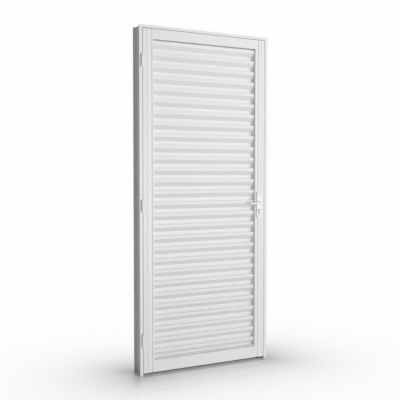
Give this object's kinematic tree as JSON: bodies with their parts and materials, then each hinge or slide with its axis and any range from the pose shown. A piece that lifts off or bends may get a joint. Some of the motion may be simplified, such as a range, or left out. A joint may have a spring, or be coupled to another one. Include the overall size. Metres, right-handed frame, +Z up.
{
  "type": "louvred door set",
  "caption": "White aluminium louvred door in a channel frame: fixed sloping slats between two stiles, side hinges, a lever handle with a latch, and a keyed dead bolt.",
  "frame": {"origin": "floor level, at the middle of the overall width and of the overall depth from the front lever's face to the frame's back", "axes": "+X towards the lock side, +Y from the door's front to the room behind it, +Z up"},
  "size_m": [0.9, 0.142, 2.1],
  "materials": {
    "frame_coat": "white powder coat on extruded aluminium, satin",
    "leaf_coat": "white powder coat on extruded aluminium, satin",
    "slat_coat": "white powder coat on extruded aluminium, satin",
    "hinge_coat": "white powder coat, satin",
    "handle_coat": "white powder coat on cast aluminium, semi-gloss",
    "seal_rubber": "extruded rubber, matt",
    "cap_plastic": "moulded nylon, matt",
    "brush_nylon": "nylon bristle, matt",
    "lock_steel": "brushed steel",
    "zinc_steel": "zinc-plated steel",
    "cylinder_nickel": "satin nickel"
  },
  "bodies": {
    "frame": {"hinge_jamb": "frame_coat", "strike_jamb": "frame_coat", "head_jamb": "frame_coat", "frame_seal": "seal_rubber", "strike_plate": "lock_steel", "frame_screws": "zinc_steel", "frame_hinge_low": "hinge_coat", "frame_hinge_mid": "hinge_coat", "frame_hinge_top": "hinge_coat"},
    "leaf": {"hinge_stile": "leaf_coat", "lock_stile": "leaf_coat", "top_rail": "leaf_coat", "bottom_rail": "leaf_coat", "brush_strip": "brush_nylon", "leaf_screws": "zinc_steel", "stile_caps": "cap_plastic", "leaf_hinge_low": "hinge_coat", "leaf_hinge_mid": "hinge_coat", "leaf_hinge_top": "hinge_coat", "slat_01": "slat_coat", "slat_02": "slat_coat", "slat_03": "slat_coat", "slat_04": "slat_coat", "slat_05": "slat_coat", "slat_06": "slat_coat", "slat_07": "slat_coat", "slat_08": "slat_coat", "slat_09": "slat_coat", "slat_10": "slat_coat", "slat_11": "slat_coat", "slat_12": "slat_coat", "slat_13": "slat_coat", "slat_14": "slat_coat", "slat_15": "slat_coat", "slat_16": "slat_coat", "slat_17": "slat_coat", "slat_18": "slat_coat", "slat_19": "slat_coat", "slat_20": "slat_coat", "slat_21": "slat_coat", "slat_22": "slat_coat", "slat_23": "slat_coat", "slat_24": "slat_coat", "slat_25": "slat_coat", "slat_26": "slat_coat", "slat_27": "slat_coat", "slat_28": "slat_coat", "lock_case": "lock_steel", "lock_faceplate": "lock_steel", "cylinder_body": "cylinder_nickel", "front_plate": "handle_coat", "back_plate": "handle_coat", "plate_screws": "zinc_steel"},
    "handle": {"follower": "lock_steel", "spindle": "lock_steel", "front_lever": "handle_coat", "back_lever": "handle_coat"},
    "latch": {"latch_bolt": "lock_steel"},
    "plug": {"cylinder_plug": "cylinder_nickel"},
    "bolt": {"dead_bolt": "lock_steel"}
  },
  "joints": [
    {"name": "door_swing", "type": "hinge", "parent": "frame", "child": "leaf", "pos_m": [-0.435, -0.0355, 1.05], "axis": [0, 0, -1], "range_deg": [0, 110]},
    {"name": "handle_turn", "type": "hinge", "parent": "leaf", "child": "handle", "pos_m": [0.384, -0.004, 1.029], "axis": [0, -1, 0], "range_deg": [0, 45], "stiffness_Nm_per_rad": 1.5, "springref_deg": -17.19},
    {"name": "latch_slide", "type": "slide", "parent": "leaf", "child": "latch", "axis": [-1, 0, 0], "range_m": [0, 0.011]},
    {"name": "plug_turn", "type": "hinge", "parent": "leaf", "child": "plug", "pos_m": [0.384, -0.004, 0.979], "axis": [0, 1, 0], "range_deg": [0, 90]},
    {"name": "bolt_slide", "type": "slide", "parent": "leaf", "child": "bolt", "axis": [1, 0, 0], "range_m": [0, 0.02]}
  ],
  "couplings": [
    {"joint": "latch_slide", "follows": "handle_turn", "m_per_rad": 0.014},
    {"joint": "plug_turn", "follows": "bolt_slide", "rad_per_m": 78.5}
  ]
}
